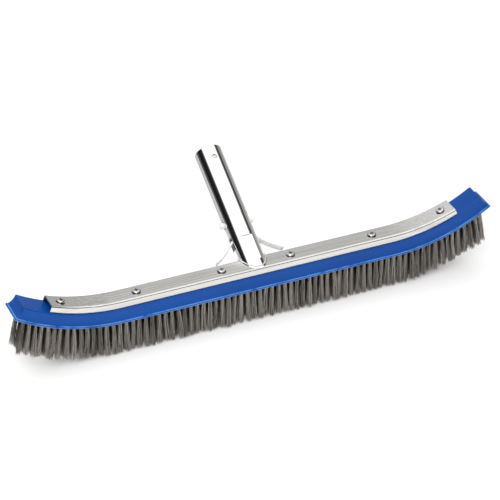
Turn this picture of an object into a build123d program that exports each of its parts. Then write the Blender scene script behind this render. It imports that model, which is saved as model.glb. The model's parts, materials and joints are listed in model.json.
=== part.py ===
from build123d import *
from math import cos, degrees, floor, radians, sin, sqrt
import os

os.makedirs("parts", exist_ok=True)

# A curved pool wall brush. X runs along the brush, Y to the rear, Z up; millimetres and degrees.
# It stands on its bristle tips: the origin is under the middle of the block, level with the tips.

# Block
BLOCK_LENGTH = 512.0  # along its top face, end to end
BLOCK_WIDTH = 30.8  # across the rim
BLOCK_HEIGHT = 14.7
BLOCK_BEND_RADIUS = 190.0  # top face of the curved ends
END_ANGLE = 32.6  # how far each end turns up
RIM_HEIGHT = 2.4
RIM_STEP = 0.8  # how far the rim stands out from the flared side
SIDE_FLARE = 1.8  # side of the top face to the outside of the rim
END_FLARE = 2.9  # end of the top face to the outside of the rim
FLARE_SAG = 0.8  # hollow of the flared faces
RIM_ROUND = 0.4
TOP_ROUND = 1.0
CORNER_ROUND = 1.2  # where the flared sides and ends meet
BOSS_RADIUS = 4.2
BOSS_GAP = 0.2  # boss top to the underside of the back

# Bristle tufts
BRISTLE_LENGTH = 38.0
ROWS = 5
TUFT_PITCH = 6.9  # along the row
TUFT_RADIUS = 1.9
TUFT_TIP_RADIUS = 2.4
TUFT_CLEARANCE = 0.3  # tuft to the side of its hole
HOLE_DEPTH = 9.4
EDGE_MARGIN = 3.9  # outermost tuft to the side of the rim
END_MARGIN = 9.6  # last tuft to the end of the rim
FAN_SHARE = 0.35  # how much of the block's turn the tufts follow
ANCHOR_HEIGHT = 2.2
ANCHOR_THICKNESS = 0.5

# Metal back, a channel with its open side down
BACK_LENGTH = 446.0  # along its top
BACK_BEND_RADIUS = 198.0  # top of the curved ends
BACK_DEPTH = 8.4  # top of the back to the block, in the middle
BACK_THICKNESS = 1.4
BACK_BEND = 1.9  # outside radius of the folded edges
BACK_INSET = 4.4  # side of the back to the side of the rim

# Screws
SCREW_RADIUS = 2.0
SCREW_GRIP = 12.4  # under the head
HEAD_RADIUS = 4.6
HEAD_HEIGHT = 2.2
HEAD_ROUND = 1.32
RECESS_WIDTH = 1.1
RECESS_LENGTH = 4.6
RECESS_DEPTH = 1.4
SEAT_GAP = 0.005  # flat head to the bent back, at its nearest
SCREW_FIT = 0.3  # screw to the side of a clearance hole
INNER_SCREW = 38.0  # from the middle of the brush
MIDDLE_SCREW_SHARE = 0.535  # of the way from the inner screw to the end screw
END_SCREW_INSET = 13.0  # from the end of the back
FOOT_SCREW_OFFSET = 6.8
FOOT_SCREW_GRIP = 5.0
FOOT_PILOT_SPARE = 0.4
FOOT_HEAD_RADIUS = 4.0
FOOT_HEAD_GAP = 0.6  # head to the inside of the back

# Handle, a hollow spigot for a pole
SPIGOT_RADIUS = 14.25
CAST_STEP = 0.25  # the rest of the tube is this much smaller
TUBE_WALL = 3.0
LEAN = 60.0  # from upright, to the rear
TIP_DISTANCE = 123.8  # where the axis meets the back to the tip
SPIGOT_LENGTH = 81.6
TIP_CHAMFER = 1.0
BORE_FLOOR = 3.0
FOOT_INSET = 1.76  # its front to the front side of the back
HEEL_GAP = 2.5  # heel to the rear side of the back
FOOT_THICKNESS = 0.9
FOOT_LIP = 1.1
PAD_DEPTH = 1.4  # flat panel low on the front
PAD_LENGTH = 28.5
PAD_START = -14.0

# Spring clip inside the handle
PIN_RADIUS = 2.75
PIN_INSET = 14.5  # from the tip
PIN_SHORT = 0.8  # ends below the tube's surface
CLIP_WIDTH = 8.0
CLIP_THICKNESS = 1.8
CLIP_GAP = 0.35
EYE_WALL = 2.2
HINGE_DROP = 8.0  # pin to the bend of each arm
HINGE_OFFSET = 3.4
BUTTON_RADIUS = 3.1
BUTTON_DROP = 73.3  # pin to the buttons
BUTTON_REACH = 4.1  # out of the tube
BUTTON_HOLE_GAP = 1.0
BUTTON_HOLE_DROP = 0.45  # the buttons sink a little as they go in
ARM_WALL_GAP = 0.7
EAR_BEND = 17.0  # buttons to where the arm turns out
EAR_SPAN = 73.0  # over both ear tips
EAR_DROP = 22.6  # where the arm turns out to the ear tip
SLOT_LENGTH = 15.2
SLOT_GAP = 0.8

# Derived sizes
STRAIGHT = BLOCK_LENGTH / 2 - BLOCK_BEND_RADIUS * radians(END_ANGLE)
BLOCK_TOP = BRISTLE_LENGTH + BLOCK_HEIGHT
BACK_TOP = BLOCK_TOP + BACK_DEPTH
BACK_WIDTH = BLOCK_WIDTH - 2 * BACK_INSET
TOP_WIDTH = BLOCK_WIDTH - 2 * SIDE_FLARE
BLOCK_CENTRE = BLOCK_TOP + BLOCK_BEND_RADIUS
BACK_CENTRE = BACK_TOP + BACK_BEND_RADIUS
UNDER_RADIUS = BLOCK_BEND_RADIUS + BLOCK_HEIGHT
ROW_PITCH = (BLOCK_WIDTH - 2 * EDGE_MARGIN - 2 * TUFT_RADIUS) / (ROWS - 1)
CAST_RADIUS = SPIGOT_RADIUS - CAST_STEP
BORE_RADIUS = SPIGOT_RADIUS - TUBE_WALL
END_SCREW = BACK_LENGTH / 2 - END_SCREW_INSET
MIDDLE_SCREW = INNER_SCREW + MIDDLE_SCREW_SHARE * (END_SCREW - INNER_SCREW)
PIN_AT = TIP_DISTANCE - PIN_INSET
BUTTON_AT = PIN_AT - BUTTON_DROP
HINGE_AT = PIN_AT - HINGE_DROP
EAR_AT = BUTTON_AT - EAR_BEND

# The handle's own frame: origin where its axis meets the top of the back, Z out along the tube,
# -Y towards the front. Its front line meets the back just inside the front edge.
FOOT_FRONT = FOOT_INSET - BACK_WIDTH / 2
AXIS_Y = FOOT_FRONT + SPIGOT_RADIUS / cos(radians(LEAN))
HANDLE = Plane(
    origin=(0, AXIS_Y, BACK_TOP),
    x_dir=(1, 0, 0),
    z_dir=(0, sin(radians(LEAN)), cos(radians(LEAN))),
).location


def turned(distance, radius, centre, drop=0):
    """Place on the bent line of the given radius: Z away from the bristles, X along the brush."""
    side = 1 if distance >= 0 else -1
    angle = max(0, abs(distance) - STRAIGHT) / radius
    x = side * (min(abs(distance), STRAIGHT) + radius * sin(angle))
    z = centre - radius * cos(angle)
    return Pos(x, 0, z) * Rot(0, -side * degrees(angle), 0) * Pos(0, 0, -drop)


def bent_bar(section, centre, angle):
    """Straight in the middle and turned up by the angle at both ends."""
    right = Pos(STRAIGHT, 0, 0) * section
    left = Pos(-STRAIGHT, 0, 0) * section
    bar = extrude(left, amount=2 * STRAIGHT, dir=(1, 0, 0))
    bar += revolve(right, Axis((STRAIGHT, 0, centre), (0, -1, 0)), angle)
    bar += revolve(left, Axis((-STRAIGHT, 0, centre), (0, 1, 0)), angle)
    return bar


def closed(points_and_arcs):
    """A face whose outline is the given lines and arcs and their mirror image."""
    half = Curve() + points_and_arcs
    return make_face(half + mirror(half, Plane.YZ))


def block_section():
    half_top, half_rim = TOP_WIDTH / 2, BLOCK_WIDTH / 2
    rim_top = BRISTLE_LENGTH + RIM_HEIGHT
    half_neck = half_rim - RIM_STEP
    middle = ((half_top + half_neck) / 2 - FLARE_SAG, (BLOCK_TOP + rim_top) / 2)
    outline = [
        Line((0, BLOCK_TOP), (half_top, BLOCK_TOP)),
        ThreePointArc((half_top, BLOCK_TOP), middle, (half_neck, rim_top)),
        Line((half_neck, rim_top), (half_rim, rim_top)),
        Line((half_rim, rim_top), (half_rim, BRISTLE_LENGTH)),
        Line((half_rim, BRISTLE_LENGTH), (0, BRISTLE_LENGTH)),
    ]
    face = closed(outline)
    rim_corners = [v for v in face.vertices() if abs(v.X) > half_rim - 0.01]
    return Plane.YZ * fillet(rim_corners, RIM_ROUND)


def end_cutter():
    """Everything beyond the flared end face. Origin at the end of the top face, X outwards."""
    rim_top = RIM_HEIGHT - BLOCK_HEIGHT
    neck = END_FLARE - RIM_STEP
    far, low = 40, -BLOCK_HEIGHT - 10
    outline = Curve() + [
        ThreePointArc((0, 0), (neck / 2 - FLARE_SAG, rim_top / 2), (neck, rim_top)),
        Line((neck, rim_top), (END_FLARE, rim_top)),
        Line((END_FLARE, rim_top), (END_FLARE, low)),
        Line((END_FLARE, low), (far, low)),
        Line((far, low), (far, 20)),
        Line((far, 20), (0, 20)),
        Line((0, 20), (0, 0)),
    ]
    face = make_face(outline)
    rim_corner = face.vertices().sort_by_distance((END_FLARE, rim_top))[0]
    return extrude(Plane.XZ * fillet(rim_corner, RIM_ROUND), amount=BLOCK_WIDTH, both=True)


def end_place(side):
    place = turned(side * BLOCK_LENGTH / 2, BLOCK_BEND_RADIUS, BLOCK_CENTRE)
    return place if side > 0 else place * Rot(0, 0, 180)


def screw_distances():
    right = [INNER_SCREW, MIDDLE_SCREW, END_SCREW]
    return [-d for d in reversed(right)] + right


def on_back(distance):
    return turned(distance, BACK_BEND_RADIUS, BACK_CENTRE)


def screw_seat(distance):
    """Where the underside of a screw's head rests: on its rim where the back is bent."""
    bent = abs(distance) + HEAD_RADIUS > STRAIGHT
    lift = HEAD_RADIUS**2 / (2 * BACK_BEND_RADIUS) + SEAT_GAP if bent else 0
    return on_back(distance) * Pos(0, 0, lift)


def tuft_places(row):
    """Where each tuft of a row leaves the underside, Z up along the tuft."""
    half = STRAIGHT + UNDER_RADIUS * radians(END_ANGLE) + END_FLARE - END_MARGIN
    count = 2 * floor(half / TUFT_PITCH) + 1
    start = -(count - 1) / 2 * TUFT_PITCH
    if row % 2:
        count, start = count - 1, start + TUFT_PITCH / 2
    y = (row - (ROWS - 1) / 2) * ROW_PITCH
    places = []
    for i in range(count):
        distance = start + i * TUFT_PITCH
        under = turned(distance, UNDER_RADIUS, BLOCK_CENTRE)
        at, turn = under.position, under.orientation.Y
        places.append(Pos(at.X, y, at.Z) * Rot(0, FAN_SHARE * turn, 0))
    return places


def standing(radius, low, high, tip=None):
    """A round bar on Z from low to high, or a cone if the low end's radius is given as tip."""
    height = high - low
    if tip is None:
        return Pos(0, 0, (low + high) / 2) * Cylinder(radius, height)
    return Pos(0, 0, (low + high) / 2) * Cone(tip, radius, height)


def make_block():
    bar = bent_bar(block_section(), BLOCK_CENTRE, END_ANGLE + 4)
    for side in (-1, 1):
        bar -= end_place(side) * end_cutter()
    bar = fillet([e for e in bar.edges() if is_corner_edge(e)], CORNER_ROUND)
    bar = fillet([e for e in bar.edges() if is_top_edge(e)], TOP_ROUND)
    bosses, pilots = [], []
    reach = BACK_THICKNESS + BOSS_GAP
    for d in screw_distances():
        bosses.append(on_back(d) * standing(BOSS_RADIUS, -BACK_DEPTH - 1, -reach))
        pilots.append(on_back(d) * standing(SCREW_RADIUS, -SCREW_GRIP - 0.5, 0))
    bar += bosses
    holes = []
    for row in range(ROWS):
        for place in tuft_places(row):
            holes.append(place * standing(TUFT_RADIUS + TUFT_CLEARANCE, -8, HOLE_DEPTH))
    return bar - (pilots + holes)


def is_corner_edge(edge):
    """True for an edge between a flared side and a flared end, from the top face to the rim."""
    low, high = edge.position_at(0), edge.position_at(1)
    for p in (low, high):
        if abs(p.X) < STRAIGHT + 1 or abs(p.Y) < TOP_WIDTH / 2 - 0.01:
            return False
    return 0.4 * BLOCK_HEIGHT < abs(high.Z - low.Z) < BLOCK_HEIGHT


def is_top_edge(edge):
    """True for an edge whose whole length lies on the block's top face."""
    for share in (0.1, 0.5, 0.9):
        p = edge.position_at(share)
        out = abs(p.X) - STRAIGHT
        off = BLOCK_TOP - p.Z
        if out > 0:
            off = sqrt(out**2 + (BLOCK_CENTRE - p.Z) ** 2) - BLOCK_BEND_RADIUS
        if abs(off) > 0.01:
            return False
    return True


def back_section(depth):
    """Channel section, open side down, with its folded edges rounded inside and out."""
    outer = Pos(0, BACK_TOP - depth) * Rectangle(BACK_WIDTH, 2 * depth)
    outer = fillet(outer.vertices().group_by(Axis.Y)[-1], BACK_BEND)
    wide, deep = BACK_WIDTH - 2 * BACK_THICKNESS, depth - BACK_THICKNESS
    inner = Pos(0, BACK_TOP - depth - BACK_THICKNESS) * Rectangle(wide, 2 * depth)
    inner = fillet(inner.vertices().group_by(Axis.Y)[-1], BACK_BEND - BACK_THICKNESS)
    lower = Pos(0, BACK_TOP - 1.5 * depth - 20) * Rectangle(2 * BACK_WIDTH, depth + 40)
    return Plane.YZ * (outer - inner - lower)


def block_space():
    """Room taken by the block and everything below it, a little longer than the back."""
    section = Pos(0, BLOCK_TOP - 20) * Rectangle(2 * BLOCK_WIDTH, 40)
    return bent_bar(Plane.YZ * section, BLOCK_CENTRE, END_ANGLE)


def make_back():
    angle = degrees((BACK_LENGTH / 2 - STRAIGHT) / BACK_BEND_RADIUS)
    solid = bent_bar(back_section(BACK_DEPTH + 1), BACK_CENTRE, angle) - block_space()
    holes = [on_back(d) * standing(SCREW_RADIUS + SCREW_FIT, -3, 2) for d in screw_distances()]
    holes += [place * standing(SCREW_RADIUS + SCREW_FIT, -3, 3) for place in foot_screw_places()]
    return solid - holes


def foot_screw_places():
    y = BACK_WIDTH / 2 - BACK_THICKNESS - FOOT_HEAD_RADIUS - FOOT_HEAD_GAP
    return [Pos(side * FOOT_SCREW_OFFSET, y, BACK_TOP) for side in (-1, 1)]


def make_handle():
    tube = HANDLE * standing(CAST_RADIUS, -60, BUTTON_AT + 10)
    spigot = standing(SPIGOT_RADIUS, TIP_DISTANCE - SPIGOT_LENGTH - TIP_CHAMFER, TIP_DISTANCE)
    spigot = chamfer(spigot.edges().group_by(Axis.Z)[-1], TIP_CHAMFER)
    tube += HANDLE * spigot
    # foot: a thin lip round the tube where it stands on the back
    heel_y = BACK_WIDTH / 2 + HEEL_GAP
    slab = Pos(0, heel_y - 100, BACK_TOP + FOOT_THICKNESS / 2) * Box(200, 200, FOOT_THICKNESS)
    front = Pos(0, BACK_WIDTH / 2 - 50, BACK_TOP) * Box(200, 100, 100)
    lip = HANDLE * standing(CAST_RADIUS + FOOT_LIP, -60, 40) & slab & front
    tube += lip
    # cut square at the heel, and level where it stands on the back
    heel_at = sin(radians(LEAN)) * (heel_y - AXIS_Y)
    below = HANDLE * (Pos(0, 0, heel_at - 50) * Box(200, 200, 100))
    under = Pos(0, heel_y - 100, BACK_TOP - 50) * Box(200, 200, 100)
    rear = Pos(0, heel_y + 100, BACK_TOP) * Box(200, 200, 200)
    tube -= under
    tube -= below & rear
    tube -= HANDLE * standing(BORE_RADIUS, BORE_FLOOR, TIP_DISTANCE + 5)
    # flat panel on the front
    pad_y = -CAST_RADIUS + PAD_DEPTH - 10
    tube -= HANDLE * (Pos(0, pad_y, PAD_START + PAD_LENGTH / 2) * Box(40, 20, PAD_LENGTH))
    # holes for the pin, the buttons and the ears
    tube -= HANDLE * (Pos(0, 0, PIN_AT) * Rot(90, 0, 0) * Cylinder(PIN_RADIUS, 60))
    button_hole = Cylinder(BUTTON_RADIUS + BUTTON_HOLE_GAP, 60)
    tube -= HANDLE * (Pos(0, 0, BUTTON_AT - BUTTON_HOLE_DROP) * Rot(0, 90, 0) * button_hole)
    slot_middle = EAR_AT - SLOT_LENGTH / 2 + 1.5
    slot = Box(60, CLIP_WIDTH + 2 * SLOT_GAP, SLOT_LENGTH)
    tube -= HANDLE * (Pos(0, 0, slot_middle) * slot)
    pilot = standing(SCREW_RADIUS, -1, FOOT_SCREW_GRIP - BACK_THICKNESS + FOOT_PILOT_SPARE)
    return tube - [place * pilot for place in foot_screw_places()]


def cross_recess():
    arm = Box(RECESS_WIDTH, RECESS_LENGTH, 2 * RECESS_DEPTH)
    return arm + Rot(0, 0, 90) * arm


def make_screw(grip, head_radius):
    """Pan head with a cross recess. Origin under the head, Z out of the head."""
    head = standing(head_radius, 0, HEAD_HEIGHT)
    head = fillet(head.edges().group_by(Axis.Z)[-1], HEAD_ROUND)
    shank = standing(SCREW_RADIUS, -grip, 0)
    shank = chamfer(shank.edges().group_by(Axis.Z)[0], SCREW_RADIUS * 0.4)
    return head + shank - Pos(0, 0, HEAD_HEIGHT) * cross_recess()


def make_tuft():
    """Origin where the tuft leaves the underside; its fold at the top hangs on its anchor."""
    top = HOLE_DEPTH - TUFT_CLEARANCE - ANCHOR_HEIGHT
    slope = (TUFT_TIP_RADIUS - TUFT_RADIUS) / BRISTLE_LENGTH
    return standing(TUFT_RADIUS - slope * top, -BRISTLE_LENGTH, top, TUFT_TIP_RADIUS)


def make_anchor():
    """The flat wire driven into the bottom of the hole, on edge across the fold of the tuft."""
    middle = HOLE_DEPTH - TUFT_CLEARANCE - ANCHOR_HEIGHT / 2
    return Pos(0, 0, middle) * Box(2 * TUFT_RADIUS, ANCHOR_THICKNESS, ANCHOR_HEIGHT)


def make_pin():
    pin = Cylinder(PIN_RADIUS, 2 * (SPIGOT_RADIUS - PIN_SHORT))
    return HANDLE * (Pos(0, 0, PIN_AT) * Rot(90, 0, 0) * pin)


def arm_line():
    """Points on the right arm: its root, the button, where it turns out and the ear's tip."""
    corner = sqrt((BORE_RADIUS - ARM_WALL_GAP) ** 2 - (CLIP_WIDTH / 2) ** 2)
    at_button = corner - CLIP_THICKNESS / 2
    return [
        (HINGE_OFFSET, HINGE_AT),
        (at_button, BUTTON_AT),
        (at_button, EAR_AT),
        (EAR_SPAN / 2, EAR_AT - EAR_DROP),
    ]


def make_arm(side):
    root, button, bend, tip = arm_line()
    down = Line(root, button)
    along = Line(button, (bend[0], bend[1] + 3))
    shoulder = (bend[0] + 4.2, bend[1] - 4.4)
    out = Spline((bend[0], bend[1] + 3), shoulder, tip, tangents=((0, -1), (1, -0.55)))
    shape = Sketch()
    for piece in (down, along, out):
        shape += trace(piece, CLIP_THICKNESS)
    shape += Pos(*button) * Circle(CLIP_THICKNESS / 2)
    shape += Pos(*tip) * Circle(CLIP_THICKNESS / 2)
    shape += Pos(*root) * Circle(CLIP_THICKNESS / 2)
    strip = extrude(Plane.XZ * shape, amount=CLIP_WIDTH / 2, both=True)
    reach = SPIGOT_RADIUS + BUTTON_REACH - button[0]
    stud = Cylinder(BUTTON_RADIUS, reach)
    stud = fillet(stud.edges().group_by(Axis.Z)[-1], 1.2)
    strip += Pos(button[0] + reach / 2, 0, BUTTON_AT) * Rot(0, 90, 0) * stud
    if side < 0:
        strip = Rot(0, 0, 180) * strip
    return HANDLE * strip


def make_bow():
    """The eye round the pin, with a short leg down to each arm."""
    eye = Circle(PIN_RADIUS + CLIP_GAP + EYE_WALL)
    legs = Sketch()
    for side in (-1, 1):
        leg_bottom = HINGE_AT + CLIP_THICKNESS / 2 + CLIP_GAP - 0.6
        leg = Rectangle(CLIP_THICKNESS, PIN_AT - leg_bottom)
        seat = Pos(side * HINGE_OFFSET, HINGE_AT) * Circle(CLIP_THICKNESS / 2 + CLIP_GAP)
        legs += Pos(side * HINGE_OFFSET, (PIN_AT + leg_bottom) / 2) * leg - seat
    shape = Pos(0, PIN_AT) * eye + legs - Pos(0, PIN_AT) * Circle(PIN_RADIUS + CLIP_GAP)
    return HANDLE * extrude(Plane.XZ * shape, amount=CLIP_WIDTH / 2, both=True)


def write(name, shape):
    export_step(shape, f"parts/{name}.step")


def main():
    write("brush_block", make_block())
    write("back_channel", make_back())
    write("handle_casting", make_handle())
    screw = make_screw(SCREW_GRIP, HEAD_RADIUS)
    for i, d in enumerate(screw_distances()):
        write(f"back_screw_{i + 1}", screw_seat(d) * screw)
    foot_screw = Rot(180, 0, 0) * make_screw(FOOT_SCREW_GRIP, FOOT_HEAD_RADIUS)
    for name, place in zip(("left", "right"), foot_screw_places()):
        write(f"foot_screw_{name}", place * Pos(0, 0, -BACK_THICKNESS) * foot_screw)
    tuft, anchor = make_tuft(), make_anchor()
    for row in range(ROWS):
        places = tuft_places(row)
        write(f"tuft_row_{row + 1}", Compound([place * tuft for place in places]))
        write(f"anchor_row_{row + 1}", Compound([place * anchor for place in places]))
    write("clip_pin", make_pin())
    write("clip_bow", make_bow())
    write("clip_arm_left", make_arm(-1))
    write("clip_arm_right", make_arm(1))


main()
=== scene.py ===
# %% [markdown]
# # A curved pool wall brush
# The brush has a moulded blue block full of steel-wire tufts, a bent aluminium channel on top of it,
# and a polished aluminium handle that leans back and locks onto a pole with a spring clip.
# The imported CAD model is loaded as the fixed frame. It gives every part its place, and the pieces made
# here are finer versions of the same parts. Lengths are in metres.

# %% Load the frame
import json
import random
from math import cos, pi, radians, sin, sqrt

import bmesh
import bpy
from mathutils import Matrix, Vector


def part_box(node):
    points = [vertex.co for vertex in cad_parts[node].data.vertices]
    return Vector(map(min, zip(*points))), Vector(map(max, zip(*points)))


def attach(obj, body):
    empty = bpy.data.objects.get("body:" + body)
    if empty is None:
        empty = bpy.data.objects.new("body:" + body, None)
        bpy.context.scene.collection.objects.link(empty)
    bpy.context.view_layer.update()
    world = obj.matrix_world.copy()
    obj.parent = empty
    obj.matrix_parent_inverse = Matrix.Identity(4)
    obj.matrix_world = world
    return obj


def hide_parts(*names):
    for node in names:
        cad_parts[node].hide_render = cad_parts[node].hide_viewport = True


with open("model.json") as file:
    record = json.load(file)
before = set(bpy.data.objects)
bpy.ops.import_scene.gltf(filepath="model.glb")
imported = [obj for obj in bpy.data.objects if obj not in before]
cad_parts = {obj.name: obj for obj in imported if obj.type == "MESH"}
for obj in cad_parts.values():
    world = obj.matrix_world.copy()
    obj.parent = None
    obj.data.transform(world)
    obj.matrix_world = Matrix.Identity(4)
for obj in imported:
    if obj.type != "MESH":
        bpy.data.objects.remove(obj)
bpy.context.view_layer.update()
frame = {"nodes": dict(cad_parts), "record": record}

MM = 0.001
record = frame["record"]

# %% [markdown]
# ## Where things are
# The block is straight in the middle and bends upwards at both ends, so most pieces follow two arcs.
# One small function turns a distance along the brush into a place on the bend. The frame's boxes
# give the heights.

# %% Sizes shared by several pieces
BLOCK_BEND = 190.0 * MM
BLOCK_HEIGHT = 14.7 * MM
BACK_DEPTH = 8.4 * MM
END_ANGLE = radians(32.6)
BLOCK_LENGTH = 512.0 * MM
STRAIGHT = BLOCK_LENGTH / 2 - BLOCK_BEND * END_ANGLE

BLOCK_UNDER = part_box("brush_block")[0].z
BLOCK_TOP = BLOCK_UNDER + BLOCK_HEIGHT
BACK_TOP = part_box("back_channel")[0].z + BACK_DEPTH
print("block underside", round(BLOCK_UNDER, 4), "top", round(BLOCK_TOP, 4), "back top", round(BACK_TOP, 4))


def on_bend(distance, radius, centre_z):
    """Matrix at a distance along the bent line: X along the brush, Z away from the bristles."""
    side = 1 if distance >= 0 else -1
    turn = max(0.0, abs(distance) - STRAIGHT) / radius
    x = side * (min(abs(distance), STRAIGHT) + radius * sin(turn))
    place = Matrix.Translation((x, 0, centre_z - radius * cos(turn)))
    return place @ Matrix.Rotation(-side * turn, 4, "Y")


# %% [markdown]
# ## Camera
# A long lens from a little left of the brush and above it, which keeps the far end nearly as large as
# the near one. It is aimed at the middle of the back.

# %% Camera
CAMERA_TURN = radians(23.76)
CAMERA_TILT = radians(33.43)
CAMERA_AWAY = 2.2207
LENS_MM = 158.03
AIM_RIGHT, AIM_UP = -0.00285, 0.00570

level_part = cos(CAMERA_TILT)
forward = Vector((sin(CAMERA_TURN) * level_part, cos(CAMERA_TURN) * level_part, -sin(CAMERA_TILT)))
to_right = Vector((cos(CAMERA_TURN), -sin(CAMERA_TURN), 0))
upwards = to_right.cross(forward)
look = (forward + to_right * AIM_RIGHT + upwards * AIM_UP).normalized()
side_way = look.cross(Vector((0, 0, 1))).normalized()
camera_data = bpy.data.cameras.new("camera")
camera_data.lens = LENS_MM
camera_data.sensor_width = 36.0
camera = bpy.data.objects.new("camera", camera_data)
bpy.context.scene.collection.objects.link(camera)
camera.matrix_world = Matrix.Translation(Vector((0, 0, BACK_TOP)) - forward * CAMERA_AWAY) @ Matrix(
    (side_way, side_way.cross(look), -look)
).transposed().to_4x4()
bpy.context.scene.camera = camera
print("camera at", [round(v, 3) for v in camera.location])

# %% [markdown]
# ## Light and floor
# Polished metal shows whatever is round it, so the light is painted on the sky dome: one wide soft box
# overhead, and a dark card low on each side that gives the tube its black bands. The camera itself sees
# plain white behind the object, and the object stands on a plain pale floor.

# %% Sky dome with a soft box and two dark cards
scene = bpy.context.scene
scene.view_settings.view_transform = "Standard"
world = bpy.data.worlds.new("studio")
scene.world = world
world.use_nodes = True
sky = world.node_tree
sky.nodes.clear()


def add_node(tree, kind, **settings):
    """A new shader node; settings that name an input socket set its value."""
    made = tree.nodes.new(kind)
    for name, value in settings.items():
        if name in made.inputs:
            made.inputs[name].default_value = value
        else:
            setattr(made, name, value)
    return made


def math_node(tree, operation, first, second=None, clamp=False):
    made = add_node(tree, "ShaderNodeMath", operation=operation, use_clamp=clamp)
    for socket, value in zip(made.inputs, (first, second)):
        if value is None:
            continue
        if isinstance(value, (int, float)):
            socket.default_value = value
        else:
            tree.links.new(value, socket)
    return made.outputs[0]


def soft_step(tree, value, start, end):
    """0 before start, 1 after end, and a smooth ramp between them. Works downwards too."""
    made = add_node(tree, "ShaderNodeMapRange", interpolation_type="SMOOTHSTEP")
    made.inputs["From Min"].default_value = start
    made.inputs["From Max"].default_value = end
    tree.links.new(value, made.inputs["Value"])
    return made.outputs["Result"]


def between(value, start, end, other, other_start, other_end):
    """A patch of sky: where one direction has passed its ramp and the other has too."""
    first = soft_step(sky, value, start, end)
    return math_node(sky, "MULTIPLY", first, soft_step(sky, other, other_start, other_end))


CARD_DARKNESS = 0.985
RIGHT_WALL_LOSS, BACK_WALL_LOSS = 0.62, 0.42
OVERHEAD_GAIN = 0.35
direction = add_node(sky, "ShaderNodeTexCoord").outputs["Generated"]
parts_of = add_node(sky, "ShaderNodeSeparateXYZ")
sky.links.new(direction, parts_of.inputs[0])
east, north, height = parts_of.outputs
# dark card on the left: from the floor up to about 40 degrees
left_card = between(east, -0.60, -0.72, height, 0.67, 0.58)
# narrow dark card on the right, between the soft box and a grey side wall
right_card = between(east, 0.55, 0.62, height, 0.71, 0.66)
right_card = math_node(sky, "MULTIPLY", right_card, soft_step(sky, height, 0.28, 0.40))
# low dark card in front, for the dark line under the fold of the back
front_card = between(north, -0.55, -0.70, height, 0.48, 0.36)
right_wall = between(east, 0.55, 0.65, height, 0.42, 0.34)
back_wall = between(north, 0.25, 0.55, height, 0.80, 0.68)
dark = math_node(sky, "MAXIMUM", math_node(sky, "MAXIMUM", left_card, right_card), front_card)
level = math_node(sky, "SUBTRACT", 1.0, math_node(sky, "MULTIPLY", dark, CARD_DARKNESS))
for wall, loss in ((right_wall, RIGHT_WALL_LOSS), (back_wall, BACK_WALL_LOSS)):
    left_over = math_node(sky, "SUBTRACT", 1.0, math_node(sky, "MULTIPLY", wall, loss))
    level = math_node(sky, "MULTIPLY", level, left_over)
overhead = math_node(sky, "MULTIPLY", soft_step(sky, height, 0.45, 0.75), OVERHEAD_GAIN)
level = math_node(sky, "ADD", level, overhead)
lit = add_node(sky, "ShaderNodeBackground", Color=(1.0, 0.995, 0.985, 1.0))
sky.links.new(level, lit.inputs["Strength"])
plain = add_node(sky, "ShaderNodeBackground", Color=(1.0, 1.0, 1.0, 1.0), Strength=1.0)
seen = add_node(sky, "ShaderNodeLightPath")
choose = add_node(sky, "ShaderNodeMixShader")
sky.links.new(seen.outputs["Is Camera Ray"], choose.inputs[0])
sky.links.new(lit.outputs[0], choose.inputs[1])
sky.links.new(plain.outputs[0], choose.inputs[2])
sky.links.new(choose.outputs[0], add_node(sky, "ShaderNodeOutputWorld").inputs[0])
print("sky nodes:", len(sky.nodes))

# %% [markdown]
# ## Key light
# One large soft lamp above, in front and to the left, which gives the block its shape and the screws
# their bright edges. It is an area light turned to face the middle of the brush.

# %% Key light
KEY_WIDTH, KEY_DEPTH = 0.9, 0.6
KEY_POWER = 7.5
KEY_PLACE = Vector((-0.55, -0.85, 0.95))
key_data = bpy.data.lights.new("key", "AREA")
key_data.shape = "RECTANGLE"
key_data.size, key_data.size_y = KEY_WIDTH, KEY_DEPTH
key_data.energy = KEY_POWER
key = bpy.data.objects.new("key", key_data)
scene.collection.objects.link(key)
facing = KEY_PLACE.to_track_quat("Z", "Y").to_matrix().to_4x4()
key.matrix_world = Matrix.Translation(KEY_PLACE) @ facing
print("key light", round(KEY_PLACE.length, 3), "m away")

# %% [markdown]
# ## Materials
# Every finish is built from nodes on Object coordinates, so it stays put when the brush moves. The
# helper makes a named material with one Principled shader and returns both.

# %% Material helper


def new_finish(name, **shader_values):
    material = bpy.data.materials.new(name)
    material.use_nodes = True
    tree = material.node_tree
    shader = tree.nodes["Principled BSDF"]
    for socket, value in shader_values.items():
        shader.inputs[socket].default_value = value
    return material, tree, shader


def object_pattern(tree, kind, stretch=(1, 1, 1), **settings):
    """A texture on Object coordinates, stretched along the axes by the given factors."""
    spot = add_node(tree, "ShaderNodeTexCoord").outputs["Object"]
    mapping = add_node(tree, "ShaderNodeMapping")
    mapping.inputs["Scale"].default_value = stretch
    tree.links.new(spot, mapping.inputs["Vector"])
    texture = add_node(tree, kind, **settings)
    tree.links.new(mapping.outputs[0], texture.inputs["Vector"])
    return texture


def drive_range(tree, value, socket, low, high):
    """Feeds a 0 to 1 value to a socket as low to high."""
    made = add_node(tree, "ShaderNodeMapRange")
    made.inputs["To Min"].default_value = low
    made.inputs["To Max"].default_value = high
    tree.links.new(value, made.inputs["Value"])
    tree.links.new(made.outputs["Result"], socket)


def tint(tree, value, socket, dark, light, start=0.3, end=0.7):
    """Feeds a colour that runs from dark to light as the value goes from start to end."""
    ramp = add_node(tree, "ShaderNodeValToRGB")
    ramp.color_ramp.elements[0].position, ramp.color_ramp.elements[0].color = start, (*dark, 1)
    ramp.color_ramp.elements[1].position, ramp.color_ramp.elements[1].color = end, (*light, 1)
    tree.links.new(value, ramp.inputs["Fac"])
    tree.links.new(ramp.outputs["Color"], socket)


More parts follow.
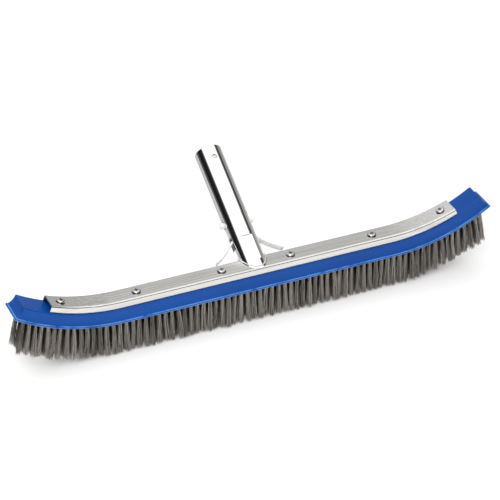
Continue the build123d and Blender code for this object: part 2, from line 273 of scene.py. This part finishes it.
def paint_crevice_shade(tree, shader, reach, dark=0.03, start=0.35, end=0.8):
    """Painted shade: darkens the base colour in grooves, gaps and corners, where light doesn't reach."""
    around = add_node(tree, "ShaderNodeAmbientOcclusion", samples=8, Distance=reach)
    ramp = add_node(tree, "ShaderNodeMapRange", interpolation_type="SMOOTHSTEP")
    for socket, value in (("From Min", start), ("From Max", end), ("To Min", dark), ("To Max", 1.0)):
        ramp.inputs[socket].default_value = value
    tree.links.new(around.outputs["AO"], ramp.inputs["Value"])
    mix = add_node(tree, "ShaderNodeMix", data_type="RGBA", blend_type="MULTIPLY")
    colour, grey = mix.inputs[6], mix.inputs[7]
    mix.inputs["Factor"].default_value = 1.0
    base = shader.inputs["Base Color"]
    if base.is_linked:
        tree.links.new(base.links[0].from_socket, colour)
    else:
        colour.default_value = base.default_value
    tree.links.new(ramp.outputs["Result"], grey)
    tree.links.new(mix.outputs[2], base)


def roughen(tree, shader, value, strength, depth):
    bump = add_node(tree, "ShaderNodeBump", Strength=strength, Distance=depth)
    tree.links.new(value, bump.inputs["Height"])
    tree.links.new(bump.outputs[0], shader.inputs["Normal"])


# %% [markdown]
# ## Blue plastic
# The block is moulded polypropylene: a strong even blue with a satin skin. Fine grain in the gloss and
# very shallow flow marks keep it from looking like paint.

# %% Blue plastic
RIM_HEIGHT = 2.4 * MM
RIM_TOP_DROP = BLOCK_HEIGHT - RIM_HEIGHT


def below_block_top(tree):
    """How far a point lies below the block's bent top face, in metres."""
    spot = add_node(tree, "ShaderNodeSeparateXYZ")
    tree.links.new(add_node(tree, "ShaderNodeTexCoord").outputs["Object"], spot.inputs[0])
    beyond = math_node(tree, "SUBTRACT", math_node(tree, "ABSOLUTE", spot.outputs[0]), STRAIGHT)
    beyond = math_node(tree, "MAXIMUM", beyond, 0.0)
    rise = math_node(tree, "SUBTRACT", spot.outputs[2], BLOCK_TOP + BLOCK_BEND)
    across = math_node(tree, "POWER", beyond, 2.0)
    squares = math_node(tree, "ADD", across, math_node(tree, "POWER", rise, 2.0))
    return math_node(tree, "SUBTRACT", math_node(tree, "SQRT", squares), BLOCK_BEND)


def band(tree, value, middle, half_width):
    """1 in the middle of a narrow band of the value, 0 outside it."""
    off = math_node(tree, "ABSOLUTE", math_node(tree, "SUBTRACT", value, middle))
    return soft_step(tree, off, half_width, 0.3 * half_width)


def make_blue_plastic():
    material, tree, shader = new_finish("blue_plastic", Roughness=0.38, IOR=1.49)
    shader.inputs["Specular IOR Level"].default_value = 0.2
    flow = object_pattern(tree, "ShaderNodeTexNoise", (14, 60, 60), Scale=1.0, Detail=4.0)
    deep_blue, clear_blue = (0.0012, 0.058, 0.300), (0.0022, 0.072, 0.350)
    tint(tree, flow.outputs["Fac"], shader.inputs["Base Color"], deep_blue, clear_blue)
    grain = object_pattern(tree, "ShaderNodeTexNoise", Scale=1400.0, Detail=3.0)
    drive_range(tree, grain.outputs["Fac"], shader.inputs["Roughness"], 0.24, 0.40)
    roughen(tree, shader, grain.outputs["Fac"], 0.12, 0.0002)
    # painted highlight: the two edges of the rim are painted lighter in patches, standing in for the light
    # the rounded edges catch
    drop = below_block_top(tree)
    upper_edge = band(tree, drop, RIM_TOP_DROP, 0.6 * MM)
    lower_edge = band(tree, drop, BLOCK_HEIGHT - 0.3 * MM, 0.9 * MM)
    rim_edges = math_node(tree, "MAXIMUM", upper_edge, lower_edge)
    patchy = object_pattern(tree, "ShaderNodeTexNoise", Scale=90.0, Detail=3.0)
    painted_rim_highlight = math_node(tree, "MULTIPLY", rim_edges, soft_step(tree, patchy.outputs["Fac"], 0.25, 0.55))
    rim_highlight_mix = add_node(tree, "ShaderNodeMix", data_type="RGBA")
    tree.links.new(math_node(tree, "MULTIPLY", painted_rim_highlight, 0.85), rim_highlight_mix.inputs["Factor"])
    tree.links.new(shader.inputs["Base Color"].links[0].from_socket, rim_highlight_mix.inputs[6])
    rim_highlight_mix.inputs[7].default_value = (0.14, 0.33, 0.72, 1)
    tree.links.new(rim_highlight_mix.outputs[2], shader.inputs["Base Color"])
    # painted shade: the blue goes darker in gaps and corners
    paint_crevice_shade(tree, shader, 0.007, 0.04, 0.2, 0.72)
    return material


blue_plastic = make_blue_plastic()
print("made", blue_plastic.name)

# %% [markdown]
# ## Aluminium
# The back is rolled sheet, brushed along its length: long faint scratches that stretch the highlights.
# The handle is cast and then polished like a mirror, with a few soft waves and hairline marks.

# %% Brushed and polished aluminium


def make_brushed_aluminium():
    material, tree, shader = new_finish("brushed_aluminium", Metallic=1.0)
    lines = object_pattern(tree, "ShaderNodeTexNoise", (9, 1400, 1400), Scale=1.0, Detail=5.0)
    tint(tree, lines.outputs["Fac"], shader.inputs["Base Color"], (0.56, 0.55, 0.535), (0.80, 0.79, 0.765))
    drive_range(tree, lines.outputs["Fac"], shader.inputs["Roughness"], 0.14, 0.24)
    roughen(tree, shader, lines.outputs["Fac"], 0.04, 0.0001)
    # painted shade: darker inside the channel, in its gaps and round the screw heads
    paint_crevice_shade(tree, shader, 0.006, 0.02, 0.10, 0.55)
    return material


def make_polished_aluminium():
    material, tree, shader = new_finish("polished_aluminium", Metallic=1.0)
    shader.inputs["Base Color"].default_value = (0.90, 0.90, 0.895, 1)
    marks = object_pattern(tree, "ShaderNodeTexNoise", (90, 90, 90), Scale=1.0, Detail=6.0)
    drive_range(tree, marks.outputs["Fac"], shader.inputs["Roughness"], 0.03, 0.12)
    roughen(tree, shader, marks.outputs["Fac"], 0.05, 0.0002)
    # painted shade: darker in the handle's slots, recesses and corners
    paint_crevice_shade(tree, shader, 0.0022, 0.05, 0.35, 0.78)
    return material


brushed_aluminium = make_brushed_aluminium()
polished_aluminium = make_polished_aluminium()
print("made", brushed_aluminium.name, polished_aluminium.name)

# %% [markdown]
# ## Stainless steel, nylon and wire
# The screws are bright stainless. The clip is natural nylon, slightly see-through at its edges. The
# bristle wire is dull steel, and each wire carries its own shade in an attribute, so a tuft reads as
# many strands.

# %% Stainless steel, nylon and wire


def make_stainless():
    material, tree, shader = new_finish("stainless_steel", Metallic=1.0)
    marks = object_pattern(tree, "ShaderNodeTexNoise", Scale=900.0, Detail=3.0)
    tint(tree, marks.outputs["Fac"], shader.inputs["Base Color"], (0.58, 0.57, 0.55), (0.72, 0.71, 0.69))
    drive_range(tree, marks.outputs["Fac"], shader.inputs["Roughness"], 0.16, 0.30)
    # painted shade: dark rims round the screw heads and dark cross recesses
    paint_crevice_shade(tree, shader, 0.0034, 0.01, 0.52, 0.92)
    return material


def make_nylon():
    material, tree, shader = new_finish("clip_nylon", Roughness=0.32, IOR=1.53)
    shader.inputs["Specular IOR Level"].default_value = 0.25
    shader.inputs["Subsurface Weight"].default_value = 0.9
    shader.inputs["Transmission Weight"].default_value = 0.35
    # painted light: a faint white glow stands in for the light passing through the thin nylon
    shader.inputs["Emission Color"].default_value = (1.0, 1.0, 1.0, 1)
    shader.inputs["Emission Strength"].default_value = 0.09
    shader.inputs["Subsurface Radius"].default_value = (0.006, 0.006, 0.006)
    cloud = object_pattern(tree, "ShaderNodeTexNoise", Scale=220.0, Detail=3.0)
    tint(tree, cloud.outputs["Fac"], shader.inputs["Base Color"], (0.94, 0.945, 0.94), (0.99, 0.99, 0.985))
    roughen(tree, shader, cloud.outputs["Fac"], 0.08, 0.0002)
    return material


def make_wire():
    material, tree, shader = new_finish("bristle_wire", Metallic=0.85)
    shade = add_node(tree, "ShaderNodeAttribute", attribute_name="shade")
    darkest, brightest = (0.008, 0.007, 0.006), (0.80, 0.745, 0.67)
    tint(tree, shade.outputs["Fac"], shader.inputs["Base Color"], darkest, brightest, 0.0, 1.0)
    scale_marks = object_pattern(tree, "ShaderNodeTexNoise", Scale=700.0, Detail=2.0)
    drive_range(tree, scale_marks.outputs["Fac"], shader.inputs["Roughness"], 0.26, 0.46)
    return material


stainless_steel = make_stainless()
clip_nylon = make_nylon()
bristle_wire = make_wire()
finishes = {
    "blue_plastic": blue_plastic,
    "brushed_aluminium": brushed_aluminium,
    "polished_aluminium": polished_aluminium,
    "stainless_steel": stainless_steel,
    "clip_nylon": clip_nylon,
    "bristle_wire": bristle_wire,
    "anchor_wire": stainless_steel,
}
print("made", sorted(finishes))

# %% [markdown]
# ## Parts whose shape is already right
# Most CAD parts stay as they are and only get their finish.

# %% Finishes on the CAD parts
for row in record["subparts"]:
    part = frame["nodes"][row["node"]]
    part.data.materials.clear()
    part.data.materials.append(finishes[row["material_slot"]])
print("finished", len(record["subparts"]), "CAD parts")

# %% [markdown]
# ## Bristle tufts
# A tuft is a bundle of lightly crimped steel wires, folded once round its anchor, so it leaves the hole
# as a tight round bunch and spreads towards the tips. One wire is a three-sided bar of a few segments
# made with an extruded ring. Fourteen different tufts are made that way, for the rows to draw from.

# %% One wire and one tuft
WIRE_RADIUS = 0.16 * MM
WIRES_PER_TUFT = 58
WIRE_SEGMENTS = 6
BRISTLE_LENGTH = 38.0 * MM
TUFT_RADIUS = 1.5 * MM
TUFT_SINK = 1.0 * MM
TIP_UNEVEN = 1.8 * MM
CRIMP = 0.16 * MM
SPREAD_LOW, SPREAD_HIGH = 0.75, 1.2
STRAY_SHARE = 0.08
STRAY_TIP = 1.3
TIDY_TIP = 0.42
WIRE_BOW = 0.28
WIRE_TONE_SPREAD = 0.24
TUFT_TONE, TUFT_TONE_SPREAD = 0.50, 0.07
rng = random.Random(20)


def add_wire(bm, shade_layer, points, shade):
    """A three-sided wire through the points, each ring a moved copy of the last."""
    ring = bmesh.ops.create_circle(bm, cap_ends=True, segments=3, radius=WIRE_RADIUS)["verts"]
    bmesh.ops.translate(bm, vec=points[0], verts=ring)
    made = list(ring)
    faces = list({face for vert in ring for face in vert.link_faces})
    for before, after in zip(points, points[1:]):
        grown = bmesh.ops.extrude_face_region(bm, geom=faces)["geom"]
        bmesh.ops.delete(bm, geom=faces, context="FACES_ONLY")
        ring = [item for item in grown if isinstance(item, bmesh.types.BMVert)]
        faces = [item for item in grown if isinstance(item, bmesh.types.BMFace)]
        bmesh.ops.translate(bm, vec=after - before, verts=ring)
        made += ring
    for vert in made:
        vert[shade_layer] = shade


def wire_points(root, tip, bend):
    """From root to tip, bowed by bend in the middle, with a small crimp from side to side."""
    points = []
    for step in range(WIRE_SEGMENTS + 1):
        share = step / WIRE_SEGMENTS
        crimp = Vector((rng.uniform(-CRIMP, CRIMP), rng.uniform(-CRIMP, CRIMP), 0)) if step else Vector()
        points.append(root.lerp(tip, share) + bend * sin(pi * share) + crimp)
    return points


def make_tuft_mesh(index, spread, tip_lean, tuft_bend):
    bm = bmesh.new()
    shade_layer = bm.verts.layers.float.new("shade")
    golden = pi * (3 - sqrt(5))
    tone = rng.gauss(TUFT_TONE, TUFT_TONE_SPREAD)
    for i in range(WIRES_PER_TUFT):
        out = sqrt((i + 0.5) / WIRES_PER_TUFT)
        turn = i * golden + rng.uniform(-0.2, 0.2)
        root = Vector((cos(turn), sin(turn), 0)) * out * TUFT_RADIUS
        apart = spread * rng.uniform(SPREAD_LOW, SPREAD_HIGH)
        tip_height = -BRISTLE_LENGTH + rng.uniform(-0.3, 1.0) * TIP_UNEVEN
        tip = Vector((root.x * apart, root.y * apart, tip_height))
        stray = STRAY_TIP if rng.random() < STRAY_SHARE else TIDY_TIP
        tip += Vector((rng.gauss(0, stray), rng.gauss(0, stray), 0)) * MM + tip_lean
        bend = tuft_bend + Vector((rng.gauss(0, WIRE_BOW), rng.gauss(0, WIRE_BOW), 0)) * MM
        root.z = TUFT_SINK
        shade = min(1.0, max(0.0, rng.gauss(tone, WIRE_TONE_SPREAD)))
        add_wire(bm, shade_layer, wire_points(root, tip, bend), shade)
    bmesh.ops.recalc_face_normals(bm, faces=bm.faces[:])
    mesh = bpy.data.meshes.new(f"tuft_kind_{index}")
    bm.to_mesh(mesh)
    bm.free()
    return mesh


TUFT_KINDS = 14
tuft_kinds = []
for kind in range(TUFT_KINDS):
    tip_lean = Vector((rng.gauss(0, 0.6), rng.gauss(0, 0.6), 0)) * MM
    tuft_bend = Vector((rng.gauss(0, 0.35), rng.gauss(0, 0.35), 0)) * MM
    tuft_kinds.append(make_tuft_mesh(kind, rng.uniform(1.5, 2.4), tip_lean, tuft_bend))
print("tuft kinds:", TUFT_KINDS, "faces each:", len(tuft_kinds[0].polygons))

# %% [markdown]
# ## Rows of tufts
# Five staggered rows leave the underside along the bend and fan out a little over the turned-up ends.
# Each place gets a copy of one of the tufts, turned and leaned at random, and each row stands for the
# plain cones of the CAD row. The inner rows get darker wires near the block, where no light comes.

# %% Rows of tufts
ROWS = 5
TUFT_PITCH = 6.9 * MM
END_FLARE = 2.9 * MM
END_MARGIN = 9.6 * MM
FAN_SHARE = 0.35
LEAN_ACROSS, LEAN_ALONG = 0.012, 0.026
ROOT_SHADE, SHADE_GAIN, SHADE_POWER = 0.03, 0.80, 1.8
UNDER_BEND = BLOCK_BEND + BLOCK_HEIGHT
BLOCK_CENTRE_Z = BLOCK_TOP + BLOCK_BEND


def tuft_places(row):
    """Matrix where each tuft of a row leaves the underside, as in the CAD model."""
    half = STRAIGHT + UNDER_BEND * END_ANGLE + END_FLARE - END_MARGIN
    count = 2 * int(half / TUFT_PITCH) + 1
    start = -(count - 1) / 2 * TUFT_PITCH
    if row % 2:
        count, start = count - 1, start + TUFT_PITCH / 2
    row_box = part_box(f"tuft_row_{row + 1}")
    y = (row_box[0].y + row_box[1].y) / 2
    places = []
    for i in range(count):
        distance = start + i * TUFT_PITCH
        turn = max(0.0, abs(distance) - STRAIGHT) / UNDER_BEND
        side = 1 if distance >= 0 else -1
        spot = on_bend(distance, UNDER_BEND, BLOCK_CENTRE_Z).translation
        fan = Matrix.Rotation(-side * turn * FAN_SHARE, 4, "Y")
        places.append(Matrix.Translation((spot.x, y, spot.z)) @ fan)
    return places


def inner_shade(row, bm, verts):
    """Wires of the inner rows are dark near the block, where no light reaches them."""
    if row in (0, ROWS - 1):
        return
    layer = bm.verts.layers.float["shade"]
    for vert in verts:
        share = min(1.0, max(0.0, -vert.co.z / BRISTLE_LENGTH))
        vert[layer] *= ROOT_SHADE + SHADE_GAIN * share**SHADE_POWER


def make_row(row):
    bm = bmesh.new()
    for place in tuft_places(row):
        before = len(bm.verts)
        bm.from_mesh(rng.choice(tuft_kinds))
        bm.verts.ensure_lookup_table()
        inner_shade(row, bm, bm.verts[before:])
        lean = Matrix.Rotation(rng.gauss(0, LEAN_ACROSS), 4, "X")
        lean @= Matrix.Rotation(rng.gauss(0, LEAN_ALONG), 4, "Y")
        spin = Matrix.Rotation(rng.uniform(0, 2 * pi), 4, "Z")
        bmesh.ops.transform(bm, matrix=place @ lean @ spin, verts=bm.verts[before:])
    mesh = bpy.data.meshes.new(f"bristles_{row + 1}")
    bm.to_mesh(mesh)
    bm.free()
    mesh.materials.append(bristle_wire)
    for polygon in mesh.polygons:
        polygon.use_smooth = True
    piece = bpy.data.objects.new(f"bristles_{row + 1}", mesh)
    scene.collection.objects.link(piece)
    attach(piece, "brush")
    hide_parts(f"tuft_row_{row + 1}")
    return piece


for row in range(ROWS):
    made = make_row(row)
    print(made.name, "triangles:", sum(len(p.vertices) - 2 for p in made.data.polygons))

# %% [markdown]
# ## Floor
# The brush stands on a plain pale floor, just under the bristle tips. In mirror reflections only, the
# floor goes dark in the same directions as the cards of the sky.

# %% Floor
FLOOR_HALF = 6.0
FLOOR_GAP = 1.5 * MM
floor_bm = bmesh.new()
bmesh.ops.create_grid(floor_bm, x_segments=1, y_segments=1, size=FLOOR_HALF)
floor_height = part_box("tuft_row_3")[0].z - FLOOR_GAP
bmesh.ops.translate(floor_bm, vec=(0, 0, floor_height), verts=floor_bm.verts)
floor_mesh = bpy.data.meshes.new("floor")
floor_bm.to_mesh(floor_mesh)
floor_bm.free()
floor_finish, floor_tree, floor_shader = new_finish("pale_floor", Roughness=0.9)
floor_shader.inputs["Specular IOR Level"].default_value = 0.0
floor_shader.inputs["Emission Color"].default_value = (1.0, 1.0, 1.0, 1)
floor_shader.inputs["Emission Strength"].default_value = 0.10
# in reflections only, the floor is grey behind the brush and black far to the left, like the cards
floor_spot = add_node(floor_tree, "ShaderNodeSeparateXYZ")
floor_coords = add_node(floor_tree, "ShaderNodeTexCoord").outputs["Object"]
floor_tree.links.new(floor_coords, floor_spot.inputs[0])
far_front = soft_step(floor_tree, floor_spot.outputs[1], -0.35, -0.50)
far_left = soft_step(floor_tree, floor_spot.outputs[0], -0.28, -0.38)
behind = math_node(floor_tree, "MULTIPLY", soft_step(floor_tree, floor_spot.outputs[1], 0.10, 0.18), 0.55)
cards = math_node(floor_tree, "MAXIMUM", far_left, far_front)
mirrored = add_node(floor_tree, "ShaderNodeLightPath").outputs["Is Glossy Ray"]
loss = math_node(floor_tree, "MULTIPLY", math_node(floor_tree, "MAXIMUM", cards, behind), mirrored)
tint(floor_tree, loss, floor_shader.inputs["Base Color"], (0.95, 0.95, 0.95), (0.0, 0.0, 0.0), 0.0, 1.0)
floor_mesh.materials.append(floor_finish)
floor = bpy.data.objects.new("floor", floor_mesh)
scene.collection.objects.link(floor)
print("floor at", round(floor_height, 4))
